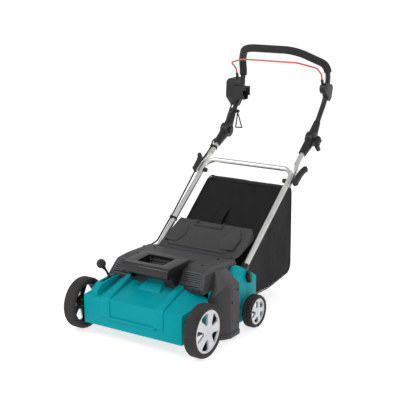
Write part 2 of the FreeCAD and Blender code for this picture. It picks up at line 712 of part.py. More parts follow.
def hinge_sleeves(hoop):
    """The hoop's halves of the hinge, and the collar that carries the cable hook."""
    sections = [oval(0, 8, 27, 19.5), oval(0, 46, 21, 17), oval(0, 84, 14.2, 14)]
    sleeve = Part.makeLoft(sections, True,
                           True).cut(rod_x(-40, 0.2, 0, 0, 32)).cut(rod_x(17, 40, 0, 0, 33))
    sleeve = fuse(sleeve, rod_x(0.2, 17, 0, 0, 30)).cut(rod_x(-30, 30, 0, 0, 5 + RUN))
    sleeve = largest(lay(sleeve, HOOP_LEAN, TUBE_X, HINGE_Y, HINGE_Z).cut(hoop))
    collar = lay(Part.makeCylinder(15, 14, v(0, -7, 0), Y), HOOP_LEAN, -TUBE_X, HOOK_Y, HOOK_Z)
    collar = fuse(collar, rod_x(-TUBE_X, -184, HOOK_Y, HOOK_Z, 3.5),
                  rod_x(-186, -184, HOOK_Y, HOOK_Z, 6))
    return Part.makeCompound([sleeve, mirrored(sleeve), largest(collar.cut(hoop))])


# ---------------------------------------------------------------- grip hoop
def hoop_side():
    """Centre line of the left leg and of the corner that leads forwards to the cross bar."""
    lift = 34
    foot = v(-TUBE_X, HINGE_Y + lift * math.cos(HOOP_LEAN), HINGE_Z + lift * math.sin(HOOP_LEAN))
    return [foot, v(-TUBE_X, 1064, 790), v(-TUBE_X, 1094, 880), v(-TUBE_X, 1082, 944),
            v(-124, 950, 1013)]


HOOP_BENDS = [140, 105, 60, 95]
FOAM_LOW_LEFT = 869.0  # the sleeve reaches further down on the switch side
FOAM_LOW_RIGHT = 908.0


def hoop_tube():
    return pipe(mirror_path(hoop_side()), HOOP_BENDS + HOOP_BENDS[::-1], TUBE_R)


def foam_grip(hoop):
    side = hoop_side()
    start = (side[1] + side[2]) * 0.5
    bends = HOOP_BENDS[1:] + HOOP_BENDS[:0:-1]
    sleeve = pipe(mirror_path([start] + side[2:]), bends, GRIP_R)
    sleeve = sleeve.cut(box(-300, 0, 1000, 1200, 700, FOAM_LOW_LEFT)).cut(box(0, 300, 1000, 1200, 700,
        FOAM_LOW_RIGHT))
    return largest(sleeve.cut(hoop))


BOX_SIDE = [(1008, 780), (1012, 848), (1022, 862), (1090, 864), (1100, 846), (1092, 790), (1070, 756),
            (1050, 738), (1034, 742), (1022, 760)]
BOX_X = -206.5
BAIL_X = 212.0  # the bail's legs, in line with the hoop's
BUTTON_X = -237.0
BUTTON_Z = 826.0


def bail_pocket():
    """Room for one foot of the bail, open upwards and to the middle, with its bearing hole."""
    room = fuse(rod_x(200, 219.5, BAIL_Y, BAIL_Z, 16.5), box(200, 219.5, 1028, 1060, BAIL_Z, 900))
    return fuse(room, rod_x(219, 224.5, BAIL_Y, BAIL_Z, 6))


def switch_box(hoop, lead):
    across = [(BOX_X, 725), (-240, 725), (-254, 788), (-254, 852), (-246, 868), (BOX_X, 868)]
    body = side_prism(BOX_SIDE, -260, BOX_X).common(front_prism(across, 1000, 1120))
    body = body.cut(side_prism([(1014, 784), (1018, 844), (1088, 858), (1087, 796), (1062, 762),
                                (1028, 762)], -245, -227))
    body = body.cut(hoop).cut(lead.Solids[0]).cut(mirrored(bail_pocket()))
    return largest(body.cut(Part.makeCylinder(9, 40, v(BUTTON_X, 1070, BUTTON_Z), Y)))


def power_inlet(hoop):
    """Shrouded appliance inlet that points across the machine, with its three pins."""
    hood = box(BOX_X, -146, 1000, 1040, 774, 834)
    hood = round_edges(hood, 5.0, lambda e: along(e, X))
    hood = hood.cut(box(-192, -130, 1004, 1036, 778, 830)).cut(box(-162, -130, 990, 1008, 792, 816))
    hood = hood.cut(box(-156, -130, 990, 1050, 760, 792))
    for y, z in ((1013, 795), (1027, 795), (1020, 812)):
        hood = hood.fuse(rod_x(-194, -170, y, z, 2.5))
    return largest(hood.removeSplitter().cut(hoop))


def bail_housing(hoop):
    """Moulded bearing on the right leg for the far end of the bail."""
    profile = [(1046, 829), (1050, 866), (1098, 862), (1109, 848), (1097, 802), (1082, 790),
               (1062, 802)]
    body = fuse(side_prism(profile, 206.5, 229), rod_x(206.5, 233, BAIL_Y, BAIL_Z - 3, 24))
    return largest(body.cut(hoop).cut(bail_pocket()))


def bail_path():
    """Centre line of the bail from its left foot, leaning forwards, to the middle of its cross part."""
    return [v(-BAIL_X, 1037, 876), v(-BAIL_X, 1027, 909), v(-BAIL_X, 985, 940), v(-134, 948, 962)]


def bail_hubs():
    """Discs at the feet of the bail, each with a trunnion in its housing and a socket for the wire."""
    foot, corner = [v(-p.x, p.y, p.z) for p in bail_path()[:2]]
    rise = (corner - foot).normalize()
    hub = fuse(rod_x(206.8, 218.4, BAIL_Y, BAIL_Z, 15), rod_x(218, 224, BAIL_Y, BAIL_Z, 6 - RUN))
    socket = rod(foot - rise * 20, foot + rise * 12, 6.2)
    return both(largest(fuse(hub, socket).cut(rod(foot, foot + rise * 20, 3.5))))


def bail_wire():
    return pipe(mirror_path(bail_path()), [12, 18, 40, 40, 18, 12], 3.5)


def start_button():
    button = Part.makeCylinder(8.6, 23, v(BUTTON_X, 1080, BUTTON_Z), Y)
    return fuse(button, Part.makeCylinder(7.5, 3, v(BUTTON_X, 1102.5, BUTTON_Z), Y))


def cable_hook():
    """Triangular wire hook that hangs from the collar and takes the strain of the extension lead."""
    top = v(-191, HOOK_Y, HOOK_Z - 6)
    left = v(-200, HOOK_Y - 2, HOOK_Z - 74)
    right = v(-166, HOOK_Y - 4, HOOK_Z - 72)
    eye = ring_x(-193.5, -188.5, HOOK_Y, HOOK_Z, 7.5, 3.5 + RUN)
    hook = eye.fuse([rod(top, left, 2.8), rod(left, right, 2.8), rod(right, top, 2.8)])
    hook = hook.fuse([Part.makeSphere(2.8, left), Part.makeSphere(2.8, right)])
    return largest(hook.removeSplitter().cut(rod_x(-200, -185, HOOK_Y, HOOK_Z, 3.5 + RUN)))


# ---------------------------------------------------------------- power lead on the left of the handle
LEAD_LOW_S = 200.0  # lower clip, up the handle from the foot
LEAD_HIGH_S = 606.0  # upper clip


def clip(s, n_tube, x, n):
    """A band round the tube and the lead beside it."""
    low = on_handle(-TUBE_X, s - 5, n_tube)
    high = on_handle(-TUBE_X, s + 5, n_tube)
    band = fuse(rod(low, high, TUBE_R + 2),
                rod(on_handle(x, s - 5, n), on_handle(x, s + 5, n), LEAD_R + 2))
    return band.cut(rod(on_handle(x, s - 9, n), on_handle(x, s + 9, n), LEAD_R))


def lead_deck():
    """From the motor cover, over the foot, to the lower clip."""
    points = [v(-198, 290, 252), v(-222, 320, 257), v(-222, 346, 244), on_handle(-223, 74, 13),
              on_handle(-223, LEAD_LOW_S - 0.5, 12)]
    return pipe(points, [20, 24, 40], LEAD_R)


def lead_fold(lower_tube):
    """From the lower clip, past the folding clamp, to the upper clip."""
    points = [on_handle(-223, LEAD_LOW_S, 12), on_handle(-223, LEAD_LOW_S + 40, 12),
              on_handle(-226, CLAMP_S, 22)]
    points += [on_handle(-222, LEAD_HIGH_S - 24, 12), on_handle(-222, LEAD_HIGH_S, 12)]
    band = largest(clip(LEAD_LOW_S + 6, 0, -223, 12).cut(lower_tube))
    return Part.makeCompound([pipe(points, [60, 200, 60], LEAD_R), band])


def lead_top(upper_tube_left):
    """From the upper clip, past the height hinge, into the switch box."""
    points = [on_handle(-222, LEAD_HIGH_S + 0.5, 12), on_handle(-222, LEAD_HIGH_S + 12, 12),
              on_handle(-236.2, 640, 6)]
    points += [v(-236, HINGE_Y + 14.7, HINGE_Z - 16.3), v(-236, 990, 686.5), v(-238, 1043, 757)]
    band = largest(clip(LEAD_HIGH_S + 6, 0, -222, 12).cut(upper_tube_left))
    return Part.makeCompound([pipe(points, [24, 40, 60, 60], LEAD_R), band])


# ---------------------------------------------------------------- assembly
def build():
    deck = deck_solid()
    cover = motor_cover(deck)
    lead = lead_deck()
    hoop = hoop_tube()
    top_lead = lead_top(mirrored(upper_tube_form()))
    lower = lower_handle()
    upper = upper_tube()
    levers = lay(cam_lever(84), LEAN, CAM_X, CLAMP_Y, CLAMP_Z)

    add("deck_housing", deck_housing(deck))
    add("motor_cover", largest(cover.cut(lead)))
    add("carry_handle", carry_handle(cover, deck))
    add("belt_cover", belt_cover(deck))
    add("cover_screws", cover_screws())
    add("reel_tunnel", reel_tunnel())
    add("motor_body", motor_body())
    add("run_capacitor", run_capacitor())
    add("drive_belt", drive_belt())
    add("reel_bearings", reel_bearings())
    add("rear_axle", rod_x(-WHEEL_OUT + 10, WHEEL_OUT - 10, REAR_AXLE_Y, REAR_R, 6))
    add("flap_hinge", flap_hinge())
    add("foot_bolts", foot_bolts())
    add("foot_knobs", foot_knobs())
    add("lead_deck", lead)

    add("front_axle", front_axle())
    add("depth_lever", depth_lever())
    add("lever_knob", lever_knob())
    for place, y, r, w, bore in (("front", 0, FRONT_R, FRONT_W, 7),
                                 ("rear", REAR_AXLE_Y, REAR_R, REAR_W, 6)):
        add(place + "_tyre_right", tyre(y, r, w))
        add(place + "_rim_right", rim(y, r, w, bore))
        add(place + "_tyre_left", mirrored(tyre(y, r, w)))
        add(place + "_rim_left", mirrored(rim(y, r, w, bore)))

    add("rotor_shaft", rotor_shaft())
    add("motor_pulley", ribbed_pulley(MOTOR_Y, MOTOR_Z, MOTOR_PULLEY_R, 8))
    add("cooling_fan", cooling_fan())
    add("reel_shaft", reel_shaft())
    add("reel_blades", reel_blades())
    add("reel_spacers", reel_spacers())
    add("reel_pulley", ribbed_pulley(REEL_Y, REEL_Z, REEL_PULLEY_R, 10))

    add("rear_flap", rear_flap())
    add("bag_fabric", bag_fabric())
    add("bag_frame", bag_frame())
    add("bag_strap", bag_strap())

    add("lower_handle", lower)
    add("handle_feet", handle_feet())
    add("clamp_bolts", clamp_bolts())
    add("lead_fold", lead_fold(lower))
    add("upper_tube_right", upper)
    add("upper_tube_left", mirrored(upper))
    add("hinge_shells", hinge_shells())
    add("hinge_bolts", hinge_bolts())
    add("clamp_lever_right", levers)
    add("clamp_lever_left", mirrored(levers))

    add("hoop_tube", hoop)
    add("foam_grip", foam_grip(hoop))
    add("hinge_sleeves", hinge_sleeves(hoop))
    add("hinge_lever", lay(cam_lever(54), SHELL_LEAN + math.radians(190), CAM_X, HINGE_Y, HINGE_Z))
    add("switch_box", switch_box(hoop, top_lead))
    add("power_inlet", power_inlet(hoop))
    add("bail_housing", bail_housing(hoop))
    add("bail_hubs", bail_hubs())
    add("bail_wire", bail_wire())
    add("start_button", start_button())
    add("cable_hook", cable_hook())
    add("lead_top", top_lead)


def write():
    os.makedirs("parts", exist_ok=True)
    for name, shape in PIECES.items():
        moved(shape, 0, -ORIGIN_Y, 0).exportStep("parts/" + name + ".step")


build()
write()
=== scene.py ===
import json
import math

import bmesh
import bpy
from mathutils import Matrix, Vector, noise


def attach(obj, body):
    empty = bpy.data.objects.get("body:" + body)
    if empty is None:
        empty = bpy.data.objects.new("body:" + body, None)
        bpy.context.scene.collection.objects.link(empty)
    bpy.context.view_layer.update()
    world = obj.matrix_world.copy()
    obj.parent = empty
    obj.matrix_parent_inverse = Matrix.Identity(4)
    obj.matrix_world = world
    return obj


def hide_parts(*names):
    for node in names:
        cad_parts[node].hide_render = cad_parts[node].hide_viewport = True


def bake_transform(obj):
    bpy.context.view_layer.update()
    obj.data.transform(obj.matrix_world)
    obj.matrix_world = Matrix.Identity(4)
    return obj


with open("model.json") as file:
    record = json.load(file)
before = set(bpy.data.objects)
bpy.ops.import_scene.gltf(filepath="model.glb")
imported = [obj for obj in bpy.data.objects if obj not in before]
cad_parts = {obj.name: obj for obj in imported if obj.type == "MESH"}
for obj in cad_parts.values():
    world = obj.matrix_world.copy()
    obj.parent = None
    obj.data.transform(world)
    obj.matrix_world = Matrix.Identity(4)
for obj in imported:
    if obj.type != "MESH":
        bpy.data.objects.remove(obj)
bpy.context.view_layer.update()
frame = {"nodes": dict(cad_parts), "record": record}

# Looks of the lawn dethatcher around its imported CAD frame. Design positions are written in millimetres in the
# machine's own frame (y = 0 on the front axle) and turned into the row frame's metres by at().

ORIGIN_Y = 504.4
WHEEL_OUT = 300.0  # outer face of every wheel
TUBE_X = 212  # centre of the handle's side tubes
TUBE_R = 11
LEAD_R = 3.5
FOOT_Y, FOOT_Z = 368.0, 196.0
CLAMP_Y, CLAMP_Z = 745.0, 497.0
nodes = frame["nodes"]
body_of_node = {n: b for b, names in frame["record"]["behaviour"]["bodies"].items() for n in names}
slot_of_node = {s["node"]: s["material_slot"] for s in frame["record"]["subparts"]}


def at(x, y, z):
    return Vector((x, y - ORIGIN_Y, z)) / 1000


# ---------------------------------------------------------------- camera
scene = bpy.context.scene
CAM_AZIMUTH = math.radians(32.99)
CAM_PITCH = math.radians(14.18)
camera_data = bpy.data.cameras.new("camera")
camera_data.lens = 90.1
camera_data.sensor_width = 36
camera_data.clip_end = 50
camera = bpy.data.objects.new("camera", camera_data)
scene.collection.objects.link(camera)
camera.location = at(2102.3, -2836.4, 1436.7)
back = Vector((
    math.sin(CAM_AZIMUTH) * math.cos(CAM_PITCH),
    -math.cos(CAM_AZIMUTH) * math.cos(CAM_PITCH),
    math.sin(CAM_PITCH),
))
camera.rotation_mode = "QUATERNION"
camera.rotation_quaternion = (-back).to_track_quat("-Z", "Y")
scene.camera = camera


# ---------------------------------------------------------------- light and floor
def area_light(name, place, aim, size, power):
    data = bpy.data.lights.new(name, "AREA")
    data.shape = "SQUARE"
    data.size = size
    data.energy = power
    light = bpy.data.objects.new(name, data)
    scene.collection.objects.link(light)
    light.location = place
    light.rotation_mode = "QUATERNION"
    light.rotation_quaternion = (Vector(aim) - Vector(place)).to_track_quat("-Z", "Y")


world = bpy.data.worlds.new("studio")
scene.world = world
world.use_nodes = True
world.node_tree.nodes["Background"].inputs["Color"].default_value = (1, 1, 1, 1)
world.node_tree.nodes["Background"].inputs["Strength"].default_value = 0.62
area_light("key", (-1.8, -2.6, 3.2), (0, 0, 0.3), 1.8, 70)
area_light("fill", (3.4, -1.0, 1.8), (0, 0, 0.4), 2.4, 22)
area_light("rim_light", (0.4, 3.0, 2.6), (0, 0.2, 0.5), 2.0, 30)
scene.view_settings.view_transform = "Standard"

floor_mesh = bpy.data.meshes.new("floor")
floor_mesh.from_pydata([(-30, -30, 0), (30, -30, 0), (30, 30, 0), (-30, 30, 0)], [], [(0, 1, 2, 3)])
floor = bpy.data.objects.new("floor", floor_mesh)
scene.collection.objects.link(floor)


# ---------------------------------------------------------------- materials
def shader(name, roughness, metallic=0.0, specular=0.5, coat=0.0, sheen=0.0):
    m = bpy.data.materials.new(name)
    m.use_nodes = True
    s = m.node_tree.nodes["Principled BSDF"]
    s.inputs["Roughness"].default_value = roughness
    s.inputs["Metallic"].default_value = metallic
    s.inputs["Specular IOR Level"].default_value = specular
    s.inputs["Coat Weight"].default_value = coat
    s.inputs["Coat Roughness"].default_value = 0.15
    s.inputs["Sheen Weight"].default_value = sheen
    s.inputs["Sheen Roughness"].default_value = 0.4
    return m, m.node_tree, s


def add_node(tree, kind, **inputs):
    n = tree.nodes.new(kind)
    for key, value in inputs.items():
        n.inputs[key.replace("_", " ")].default_value = value
    return n


def ramp(tree, source, low, high, left, right):
    """Maps a 0-1 value to a colour or grey between two stops."""
    r = tree.nodes.new("ShaderNodeValToRGB")
    r.color_ramp.elements[0].position = left
    r.color_ramp.elements[0].color = low
    r.color_ramp.elements[1].position = right
    r.color_ramp.elements[1].color = high
    tree.links.new(source, r.inputs["Fac"])
    return r.outputs["Color"]


def grey(v):
    return (v, v, v, 1)


def shade(colour, k):
    return tuple(min(1, c * k) for c in colour) + (1,)


def surface(name, colour, roughness, grain, bump, spread=0.12, rough_spread=0.08, blotch=7.0, **kw):
    """A moulded or painted surface: soft colour blotches, fine grain in the relief and uneven gloss."""
    m, tree, s = shader(name, roughness, **kw)
    place = tree.nodes.new("ShaderNodeTexCoord").outputs["Object"]
    broad = add_node(tree, "ShaderNodeTexNoise", Scale=blotch, Detail=3.0, Roughness=0.55)
    fine = add_node(tree, "ShaderNodeTexNoise", Scale=grain, Detail=2.0, Roughness=0.6)
    tree.links.new(place, broad.inputs["Vector"])
    tree.links.new(place, fine.inputs["Vector"])
    low, high = shade(colour, 1 - spread), shade(colour, 1 + spread)
    tree.links.new(ramp(tree, broad.outputs["Fac"], low, high, 0.3, 0.7), s.inputs["Base Color"])
    rough = ramp(tree, fine.outputs["Fac"], grey(roughness - rough_spread),
                 grey(roughness + rough_spread), 0.35, 0.65)
    tree.links.new(rough, s.inputs["Roughness"])
    relief = add_node(tree, "ShaderNodeBump", Strength=bump, Distance=0.0004)
    tree.links.new(fine.outputs["Fac"], relief.inputs["Height"])
    tree.links.new(relief.outputs["Normal"], s.inputs["Normal"])
    return m


def brushed(name, colour, roughness, stretch, spread=0.08):
    """Bare metal with fine drawing marks along one axis."""
    m, tree, s = shader(name, roughness, metallic=0.85)
    place = tree.nodes.new("ShaderNodeTexCoord").outputs["Object"]
    mapping = add_node(tree, "ShaderNodeMapping", Scale=stretch)
    tree.links.new(place, mapping.inputs["Vector"])
    lines = add_node(tree, "ShaderNodeTexNoise", Scale=60.0, Detail=3.0, Roughness=0.6)
    tree.links.new(mapping.outputs["Vector"], lines.inputs["Vector"])
    tree.links.new(ramp(tree, lines.outputs["Fac"], shade(colour, 1 - spread),
                        shade(colour, 1 + spread), 0.3, 0.7), s.inputs["Base Color"])
    tree.links.new(ramp(tree, lines.outputs["Fac"], grey(roughness - 0.07), grey(roughness + 0.09),
                        0.3, 0.7), s.inputs["Roughness"])
    relief = add_node(tree, "ShaderNodeBump", Strength=0.15, Distance=0.0002)
    tree.links.new(lines.outputs["Fac"], relief.inputs["Height"])
    tree.links.new(relief.outputs["Normal"], s.inputs["Normal"])
    return m


def woven(name, colour, thread):
    """Coated woven cloth: crossing threads, faint slubs and a soft sheen."""
    m, tree, s = shader(name, 0.74, specular=0.22, sheen=0.06)
    place = tree.nodes.new("ShaderNodeTexCoord").outputs["Object"]
    total = None
    for turn in ((0, 0, 0), (0, math.radians(90), 0), (0, 0, math.radians(90))):
        mapping = add_node(tree, "ShaderNodeMapping", Rotation=turn)
        tree.links.new(place, mapping.inputs["Vector"])
        wave = add_node(tree, "ShaderNodeTexWave", Scale=thread, Distortion=0.6, Detail=1.0)
        tree.links.new(mapping.outputs["Vector"], wave.inputs["Vector"])
        if total is None:
            total = wave.outputs["Fac"]
        else:
            join = tree.nodes.new("ShaderNodeMath")
            join.operation = "MULTIPLY"
            tree.links.new(total, join.inputs[0])
            tree.links.new(wave.outputs["Fac"], join.inputs[1])
            total = join.outputs[0]
    slub = add_node(tree, "ShaderNodeTexNoise", Scale=26.0, Detail=4.0, Roughness=0.65)
    tree.links.new(place, slub.inputs["Vector"])
    tree.links.new(ramp(tree, slub.outputs["Fac"], shade(colour, 0.78), shade(colour, 1.25), 0.3, 0.7),
                   s.inputs["Base Color"])
    weave = add_node(tree, "ShaderNodeBump", Strength=0.35, Distance=0.0005)
    tree.links.new(total, weave.inputs["Height"])
    soft = add_node(tree, "ShaderNodeBump", Strength=0.3, Distance=0.002)
    tree.links.new(slub.outputs["Fac"], soft.inputs["Height"])
    tree.links.new(weave.outputs["Normal"], soft.inputs["Normal"])
    tree.links.new(soft.outputs["Normal"], s.inputs["Normal"])
    return m


def foamed(name, colour):
    """Closed-cell foam: small pits over a matt skin, each pit also painted darker as painted shade."""
    m, tree, s = shader(name, 0.78, specular=0.3)
    place = tree.nodes.new("ShaderNodeTexCoord").outputs["Object"]
    cells = add_node(tree, "ShaderNodeTexVoronoi", Scale=520.0)
    tree.links.new(place, cells.inputs["Vector"])
    # Painted shade: the colour darkens towards each cell's centre, which is the bottom of the pit the bump
    # draws, so the pits read as shaded hollows.
    tree.links.new(ramp(tree, cells.outputs["Distance"], shade(colour, 0.75), shade(colour, 1.3), 0.0,
                        0.7), s.inputs["Base Color"])
    relief = add_node(tree, "ShaderNodeBump", Strength=0.5, Distance=0.0008)
    tree.links.new(cells.outputs["Distance"], relief.inputs["Height"])
    tree.links.new(relief.outputs["Normal"], s.inputs["Normal"])
    return m


MATERIALS = {
    "teal": surface("teal_plastic", (0.0, 0.30, 0.345), 0.42, 900, 0.10, 0.04, 0.06, specular=0.08),
    "cover": surface("dark_grey_plastic", (0.034, 0.034, 0.036), 0.52, 1400, 0.35, 0.10, 0.08,
                     specular=0.38),
    "panel": surface("mid_grey_plastic", (0.085, 0.086, 0.09), 0.48, 1400, 0.3, 0.08, 0.08,
                     specular=0.4),
    "black": surface("black_plastic", (0.012, 0.012, 0.0125), 0.44, 1200, 0.25, 0.15, 0.08,
                     specular=0.38),
    "gloss": surface("glossy_black_plastic", (0.006, 0.006, 0.0065), 0.26, 1200, 0.08, 0.15, 0.06,
                     specular=0.5),
    "tyre": surface("tyre_rubber", (0.034, 0.031, 0.030), 0.78, 700, 0.5, 0.22, 0.08, blotch=16.0,
                    specular=0.28),
    "rim": surface("silver_lacquer", (0.60, 0.60, 0.615), 0.34, 1600, 0.08, 0.05, 0.05, coat=0.3,
                   metallic=0.25),
    "tube": brushed("satin_aluminium", (0.66, 0.66, 0.65), 0.33, (1, 0.3, 0.3)),
    "steel": brushed("zinc_steel", (0.50, 0.50, 0.51), 0.36, (0.3, 1, 1)),
    "dark_steel": surface("black_powder_coat", (0.014, 0.014, 0.015), 0.38, 1500, 0.3, 0.12, 0.07,
                          specular=0.4, coat=0.1),
    "castalloy": surface("cast_alloy", (0.42, 0.42, 0.43), 0.48, 500, 0.5, 0.10, 0.10, metallic=0.8),
    "cloth": woven("bag_cloth", (0.0058, 0.0060, 0.0063), 900.0),
    "foam": foamed("grip_foam", (0.020, 0.020, 0.0205)),
    "red": surface("red_lacquer", (0.66, 0.05, 0.035), 0.32, 1200, 0.06, 0.06, 0.05, coat=0.3),
    "rubber": surface("lead_rubber", (0.010, 0.010, 0.010), 0.52, 900, 0.2, 0.15, 0.08, specular=0.4),
}


def floor_paint():
    """White studio floor with a little light of its own, so that only a soft contact shadow shows."""
    m, tree, s = shader("floor_paint", 0.9, specular=0.1)
    s.inputs["Base Color"].default_value = (0.45, 0.45, 0.45, 1)
    s.inputs["Emission Color"].default_value = (1, 1, 1, 1)
    s.inputs["Emission Strength"].default_value = 0.74
    return m


floor.data.materials.append(floor_paint())

for name, node in nodes.items():
    node.data.materials.clear()
    node.data.materials.append(MATERIALS[slot_of_node[name]])


# ---------------------------------------------------------------- mesh helpers
def smooth(obj, angle=35):
    """Smooth shading that keeps edges sharper than the angle."""
    for p in obj.data.polygons:
        p.use_smooth = True
    obj.data.set_sharp_from_angle(angle=math.radians(angle))


def piece(name, mesh, material, body, angle=35):
    """Links a finished mesh as a piece of the object."""
    obj = bpy.data.objects.new(name, mesh)
    scene.collection.objects.link(obj)
    if not mesh.materials:
        mesh.materials.append(MATERIALS[material])
    smooth(obj, angle)
    if body:
        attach(obj, body)
    return obj


def from_bmesh(name, bm):
    mesh = bpy.data.meshes.new(name)
    bmesh.ops.recalc_face_normals(bm, faces=bm.faces)
    bm.to_mesh(mesh)
    bm.free()
    return mesh


def apply_modifiers(obj):
    graph = bpy.context.evaluated_depsgraph_get()
    mesh = bpy.data.meshes.new_from_object(obj.evaluated_get(graph), preserve_all_data_layers=True,
                                           depsgraph=graph)
    obj.modifiers.clear()
    obj.data = mesh


def softened(node, width, segments=2, name=None, flat=1.0, angle=24):
    """A CAD node's shape with its hard edges rounded, in place of the node."""
    bm = bmesh.new()
    bm.from_mesh(nodes[node].data)
    bmesh.ops.remove_doubles(bm, verts=bm.verts, dist=2e-6)
    bmesh.ops.dissolve_limit(bm, angle_limit=math.radians(flat), verts=bm.verts, edges=bm.edges)
    hard = [e for e in bm.edges if len(e.link_faces) == 2 and e.calc_face_angle(0) > math.radians(angle)]
    bmesh.ops.bevel(
        bm, geom=hard, offset=width / 1000, offset_type="OFFSET", segments=segments,
        profile=0.5, affect="EDGES", clamp_overlap=True,
    )
    bmesh.ops.triangulate(bm, faces=[f for f in bm.faces if len(f.verts) > 4])
    mesh = bpy.data.meshes.new(node + "_shape")
    bm.to_mesh(mesh)
    bm.free()
    obj = piece(name or node + "_skin", mesh, slot_of_node[node], body_of_node[node])
    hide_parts(node)
    return obj


def darken_inside(obj, depth=13.0):
    """Gives the inboard side of a wheel centre the moulding's own black; only its outer face is lacquered."""
    obj.data.materials.append(MATERIALS["black"])
    for p in obj.data.polygons:
        if abs(p.center.x) * 1000 < WHEEL_OUT - depth or p.normal.x * p.center.x < -0.2 * abs(p.center.x):
            p.material_index = 1


def rounded_path(points, radii, step=3.0):
    """Points along straight runs with an arc at each inner corner, in millimetres."""
    out = [points[0].copy()]
    for i in range(1, len(points) - 1):
        before = (points[i - 1] - points[i]).normalized()
        after = (points[i + 1] - points[i]).normalized()
        half = before.angle(after) / 2
        r = radii[i - 1]
        reach = r / math.tan(half)
        centre = points[i] + (before + after).normalized() * (r / math.sin(half))
        a = points[i] + before * reach - centre
        turn = math.pi - 2 * half
        axis = before.cross(after) * -1
        if turn < 0.01:
            out.append(points[i].copy())
            continue
        steps = max(3, int(r * turn / step))
        for k in range(steps + 1):
            out.append(centre + Matrix.Rotation(turn * k / steps, 3, axis.normalized()) @ a)
    out.append(points[-1].copy())
    return out


def sweep(path, radius, sides=16, caps=True, shape=None):
    """A tube mesh along a path in millimetres; radius may be a function of the share of its length."""
    bm = bmesh.new()
    rings = []
    normal = None
    for i, p in enumerate(path):
        tangent = (path[min(i + 1, len(path) - 1)] - path[max(i - 1, 0)]).normalized()
        if normal is None:
            normal = tangent.orthogonal().normalized()
        normal = (normal - tangent * normal.dot(tangent)).normalized()
        side = tangent.cross(normal)
        r = radius(i / (len(path) - 1)) if callable(radius) else radius
        ring = []
        for k in range(sides):
            a = 2 * math.pi * k / sides
            q = p + (normal * math.cos(a) + side * math.sin(a)) * r
            ring.append(bm.verts.new(at(q.x, q.y, q.z)))
        rings.append(ring)
    for a, b in zip(rings, rings[1:]):
        for k in range(sides):
            bm.faces.new((a[k], a[(k + 1) % sides], b[(k + 1) % sides], b[k]))
    if caps:
        bm.faces.new(rings[0][::-1])
        bm.faces.new(rings[-1])
    return bm


def mirror_points(points):
    return points + [Vector((-p.x, p.y, p.z)) for p in reversed(points)]


# ---------------------------------------------------------------- hard pieces with rounded edges
softened("deck_housing", 3.0, 3)
softened("motor_cover", 2.2)
carry_handle = softened("carry_handle", 3.5, 3)
carry_handle.data.materials[0] = MATERIALS["gloss"]
softened("belt_cover", 2.5, 3)
softened("rear_flap", 2.2)
softened("switch_box", 4.0, 3)
softened("power_inlet", 1.0)
softened("bail_housing", 3.5, 3)
softened("hinge_shells", 2.5, 3)
softened("hinge_sleeves", 2.0)
softened("hinge_lever", 1.6)
softened("clamp_lever_left", 2.0)
softened("clamp_lever_right", 2.0)
softened("foot_knobs", 2.0)
softened("handle_feet", 1.2)
for end in ("front", "rear"):
    for side in ("left", "right"):
        darken_inside(softened(f"{end}_rim_{side}", 1.4, 2, angle=30))


# ---------------------------------------------------------------- tyres
def tyre_mesh(sign, axle_y, r, w, lugs, slant, depth):
    """A tyre with shallow lugs: rows of blocks whose grooves slant across the tread."""
    outer = WHEEL_OUT
    steps = lugs * 6
    seat = r * 0.80
    profile = [(outer - w + 4, seat), (outer - w, seat + 4), (outer - w + 0.4, r - 12)]
    profile += [(outer - w + 1.4, r - 6.5), (outer - w + 4, r - 2.6), (outer - w + 8, r - 0.6)]
    middle = 9
    for i in range(middle):
        profile.append((outer - w + 10 + (w - 20) * i / (middle - 1), r))
    profile += [(outer - 8, r - 0.6), (outer - 4, r - 2.6), (outer - 1.4, r - 6.5),
                (outer - 0.4, r - 12)]
    profile += [(outer, seat + 9), (outer - 1.2, seat + 4), (outer - 3, seat)]
    bm = bmesh.new()
    rings = []
    for i in range(steps):
        ring = []
        for x, q in profile:
            across = (x - outer + w / 2) / (w / 2)
            phase = i / 6 + slant * abs(across)
            groove = 1 if (phase % 1.0) < 0.30 else 0
            centre = 1 if abs(across) < 0.09 else 0
            fade = max(0.0, min(1.0, (q - (r - 7)) / 5))
            cut = depth * max(groove, centre) * fade
            a = 2 * math.pi * i / steps
            ring.append(bm.verts.new(at(sign * x, axle_y + (q - cut) * math.cos(a),
                                        r + (q - cut) * math.sin(a))))
        rings.append(ring)
    for i in range(steps):
        a, b = rings[i], rings[(i + 1) % steps]
        for k in range(len(profile)):
            j = (k + 1) % len(profile)
            bm.faces.new((a[k], a[j], b[j], b[k]))
    return from_bmesh("tyre", bm)


for side, sign in (("left", -1), ("right", 1)):
    for end, axle_y, r, w, lugs, slant, depth in (("front", 0, 100, 50, 64, 0.5, 1.5),
                                                  ("rear", 358, 65, 42, 30, 0.9, 2.6)):
        tyre = piece(f"{end}_{side}_tread", tyre_mesh(sign, axle_y, r, w, lugs, slant, depth), "tyre",
                     f"{end}_wheel_{side}", angle=28)
        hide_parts(f"{end}_tyre_{side}")


# ---------------------------------------------------------------- catcher bag
BAG_HALF = 188.0
BAG_SIDE = [(446, 92), (446, 199), (754, 460), (779, 468), (806, 464), (824, 444), (828, 108),
            (812, 82), (640, 60), (520, 62)]
BAG_CENTRE = (655.0, 235.0)
MOUTH = (446.0, 104.0, 188.0, 170.0)  # plane, lowest and highest z, half width of the opening


def bag_outline(spacing=9.0):
    """The bag's side outline with its corners eased, as evenly spaced (y, z) points."""
    corners = [Vector(c) for c in BAG_SIDE]
    dense = []
    for a, b in zip(corners, corners[1:] + corners[:1]):
        steps = max(2, round((b - a).length / spacing))
        dense += [a + (b - a) * k / steps for k in range(steps)]
    for _ in range(3):
        dense = [(dense[i - 1] + dense[i] * 2 + dense[(i + 1) % len(dense)]) / 4 for i in range(len(dense))]
    return dense


